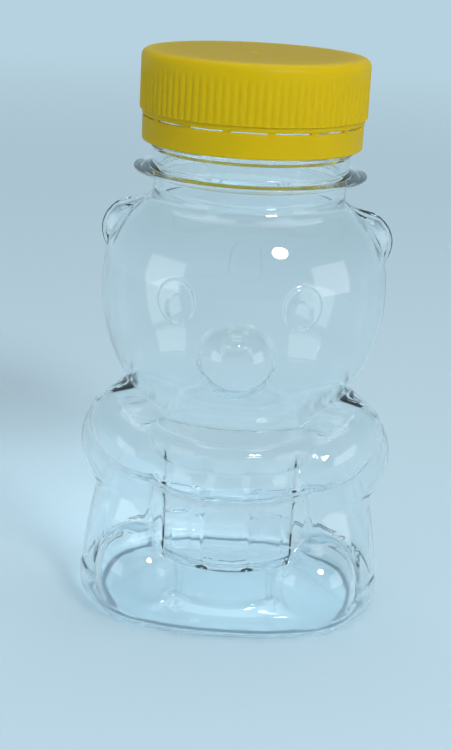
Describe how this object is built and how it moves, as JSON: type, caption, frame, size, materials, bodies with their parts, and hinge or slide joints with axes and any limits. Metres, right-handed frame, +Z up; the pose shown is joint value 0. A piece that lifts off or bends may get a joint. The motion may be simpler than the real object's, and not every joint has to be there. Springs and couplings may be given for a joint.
{
  "type": "honey bear bottle",
  "caption": "Clear blown bottle shaped as a sitting bear that hugs a barrel, with a wide screw neck, ribbed cap, sealing liner and tear-off band.",
  "frame": {"origin": "on the neck's axis, in the plane that the base stands on", "axes": "+Z up along the neck and cap, -Y towards the bear's face and barrel, +X to the right in the front view"},
  "size_m": [0.0584, 0.0543, 0.1028],
  "materials": {
    "clear_plastic": "clear, glossy",
    "yellow_plastic": "satin, moulded",
    "white_foam": "matte foam"
  },
  "bodies": {
    "bottle": {"bear_body": "clear_plastic", "neck_finish": "clear_plastic"},
    "liner": {"sealing_liner": "white_foam"},
    "cap": {"cap_shell": "yellow_plastic"},
    "band": {"tamper_band": "yellow_plastic", "tear_bridges": "yellow_plastic"}
  },
  "joints": [
    {"name": "cap_lift", "type": "slide", "parent": "bottle", "child": "liner", "axis": [0, 0, 1], "range_m": [0, 0.024]},
    {"name": "cap_turn", "type": "hinge", "parent": "liner", "child": "cap", "pos_m": [0, 0, 0.0955], "axis": [0, 0, 1], "range_deg": [0, 900]},
    {"name": "band_drop", "type": "slide", "parent": "bottle", "child": "band", "axis": [0, 0, -1], "range_m": [0, 0.0043]}
  ],
  "couplings": [
    {"joint": "cap_lift", "follows": "cap_turn", "m_per_rad": 0.0015279}
  ]
}
